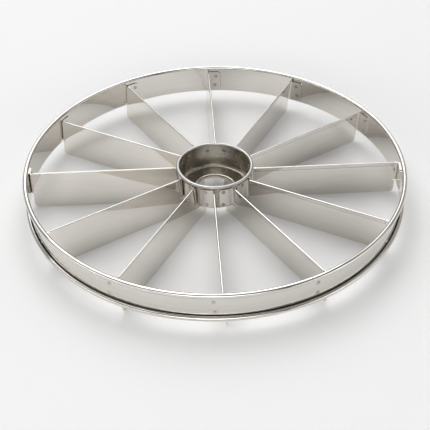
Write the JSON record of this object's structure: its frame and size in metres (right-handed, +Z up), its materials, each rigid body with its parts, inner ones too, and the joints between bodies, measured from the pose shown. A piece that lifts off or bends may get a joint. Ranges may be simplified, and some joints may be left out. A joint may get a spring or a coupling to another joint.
{
  "type": "cake portion marker",
  "caption": "Round stainless-steel cake portion marker: radial sheet dividers spot-welded between a rolled-edge hoop and a cup-shaped hub.",
  "frame": {"origin": "on the hoop's axis, level with the dividers' bottom edges", "axes": "+Z up along the hoop's axis, +Y along blade_01; the blades are numbered clockwise seen from above"},
  "size_m": [0.308, 0.308, 0.0362],
  "materials": {
    "polished_steel": "polished, with fine handling scratches"
  },
  "bodies": {
    "root": {"outer_ring": "polished_steel", "hub": "polished_steel", "blade_01": "polished_steel", "blade_02": "polished_steel", "blade_03": "polished_steel", "blade_04": "polished_steel", "blade_05": "polished_steel", "blade_06": "polished_steel", "blade_07": "polished_steel", "blade_08": "polished_steel", "blade_09": "polished_steel", "blade_10": "polished_steel", "blade_11": "polished_steel", "blade_12": "polished_steel"}
  },
  "joints": []
}
